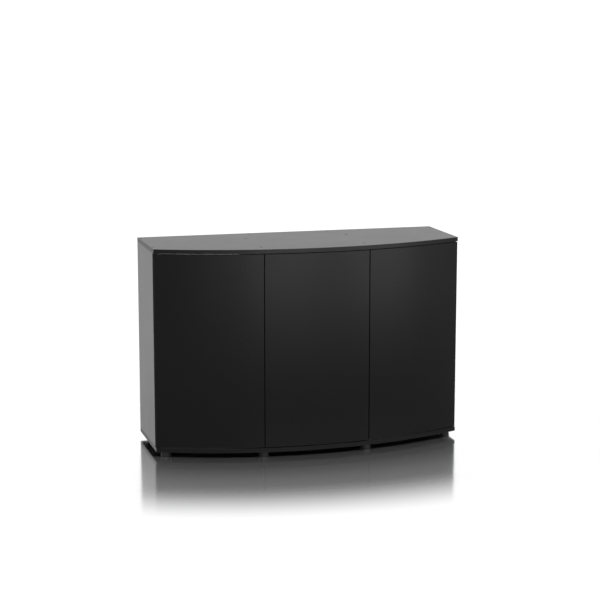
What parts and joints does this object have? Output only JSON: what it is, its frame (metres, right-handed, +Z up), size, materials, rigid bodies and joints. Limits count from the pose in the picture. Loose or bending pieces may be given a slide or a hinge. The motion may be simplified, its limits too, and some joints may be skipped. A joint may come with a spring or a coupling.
{
  "type": "bow-front aquarium cabinet",
  "caption": "Black bow-fronted aquarium cabinet with curved doors on concealed hinges, shelved side bays and a flat seat for the tank.",
  "frame": {"origin": "on the floor at the middle of the footprint, under the middle of the cabinet", "axes": "+X along the width, the bowed front faces -Y, +Z up"},
  "size_m": [1.21, 0.46, 0.8],
  "materials": {
    "board_black": "black melamine-faced board, fine satin grain",
    "panel_black": "black melamine-faced board, satin",
    "edge_band": "black plastic edge band, satin",
    "door_black": "black foil-wrapped curved door, satin",
    "hinge_nickel": "nickel-plated pressed steel",
    "screw_zinc": "bright zinc plate",
    "screw_black": "black finished steel screw",
    "pin_steel": "nickel-plated steel pin",
    "strike_steel": "plated steel disc",
    "latch_grey": "dark grey moulded plastic",
    "plunger_white": "off-white moulded plastic",
    "dowel_wood": "fluted beech dowel",
    "foot_black": "black moulded plastic"
  },
  "bodies": {
    "cabinet": {"top_board": "board_black", "top_board_edging": "edge_band", "bottom_board": "board_black", "bottom_board_edging": "edge_band", "left_side_panel": "panel_black", "right_side_panel": "panel_black", "left_divider": "panel_black", "right_divider": "panel_black", "back_panel": "panel_black", "left_shelf": "panel_black", "right_shelf": "panel_black", "left_shelf_pins": "pin_steel", "right_shelf_pins": "pin_steel", "top_screws": "screw_black", "bottom_screws": "screw_black", "top_dowels": "dowel_wood", "bottom_dowels": "dowel_wood", "left_hinge_arms": "hinge_nickel", "middle_hinge_arms": "hinge_nickel", "right_hinge_arms": "hinge_nickel", "left_hinge_plates": "hinge_nickel", "middle_hinge_plates": "hinge_nickel", "right_hinge_plates": "hinge_nickel", "plate_screws": "screw_zinc", "left_latch_housing": "latch_grey", "middle_latch_housing": "latch_grey", "right_latch_housing": "latch_grey", "latch_screws": "screw_zinc", "front_left_foot": "foot_black", "front_mid_left_foot": "foot_black", "front_mid_right_foot": "foot_black", "front_right_foot": "foot_black", "rear_left_foot": "foot_black", "rear_mid_left_foot": "foot_black", "rear_mid_right_foot": "foot_black", "rear_right_foot": "foot_black", "foot_screws": "screw_zinc"},
    "left_door": {"left_door": "door_black", "left_hinge_cups": "hinge_nickel", "left_cup_screws": "screw_zinc", "left_strike": "strike_steel"},
    "left_links": {"left_hinge_links": "hinge_nickel"},
    "left_plunger": {"left_latch_plunger": "plunger_white"},
    "middle_door": {"middle_door": "door_black", "middle_hinge_cups": "hinge_nickel", "middle_cup_screws": "screw_zinc", "middle_strike": "strike_steel"},
    "middle_links": {"middle_hinge_links": "hinge_nickel"},
    "middle_plunger": {"middle_latch_plunger": "plunger_white"},
    "right_door": {"right_door": "door_black", "right_hinge_cups": "hinge_nickel", "right_cup_screws": "screw_zinc", "right_strike": "strike_steel"},
    "right_links": {"right_hinge_links": "hinge_nickel"},
    "right_plunger": {"right_latch_plunger": "plunger_white"}
  },
  "joints": [
    {"name": "left_door_hinge", "type": "hinge", "parent": "cabinet", "child": "left_door", "pos_m": [-0.59648, -0.09616, 0.41], "axis": [0, 0, -1], "range_deg": [0, 95]},
    {"name": "left_link_hinge", "type": "hinge", "parent": "cabinet", "child": "left_links", "pos_m": [-0.57386, -0.10194, 0.41], "axis": [0, 0, 1], "range_deg": [0, 53]},
    {"name": "left_latch_slide", "type": "slide", "parent": "cabinet", "child": "left_plunger", "axis": [0, -1, 0], "range_m": [0, 0.0145]},
    {"name": "middle_door_hinge", "type": "hinge", "parent": "cabinet", "child": "middle_door", "pos_m": [-0.19921, -0.20941, 0.41], "axis": [0, 0, -1], "range_deg": [0, 95]},
    {"name": "middle_link_hinge", "type": "hinge", "parent": "cabinet", "child": "middle_links", "pos_m": [-0.17588, -0.20865, 0.41], "axis": [0, 0, 1], "range_deg": [0, 53]},
    {"name": "middle_latch_slide", "type": "slide", "parent": "cabinet", "child": "middle_plunger", "axis": [0, -1, 0], "range_m": [0, 0.0145]},
    {"name": "right_door_hinge", "type": "hinge", "parent": "cabinet", "child": "right_door", "pos_m": [0.59648, -0.09616, 0.41], "axis": [0, 0, 1], "range_deg": [0, 95]},
    {"name": "right_link_hinge", "type": "hinge", "parent": "cabinet", "child": "right_links", "pos_m": [0.57386, -0.10194, 0.41], "axis": [0, 0, -1], "range_deg": [0, 53]},
    {"name": "right_latch_slide", "type": "slide", "parent": "cabinet", "child": "right_plunger", "axis": [0, -1, 0], "range_m": [0, 0.0145]}
  ],
  "couplings": [
    {"joint": "left_link_hinge", "follows": "left_door_hinge", "ratio": 0.55},
    {"joint": "left_latch_slide", "follows": "left_door_hinge", "m_per_rad": 0.0084},
    {"joint": "middle_link_hinge", "follows": "middle_door_hinge", "ratio": 0.55},
    {"joint": "middle_latch_slide", "follows": "middle_door_hinge", "m_per_rad": 0.0084},
    {"joint": "right_link_hinge", "follows": "right_door_hinge", "ratio": 0.55},
    {"joint": "right_latch_slide", "follows": "right_door_hinge", "m_per_rad": 0.0084}
  ]
}
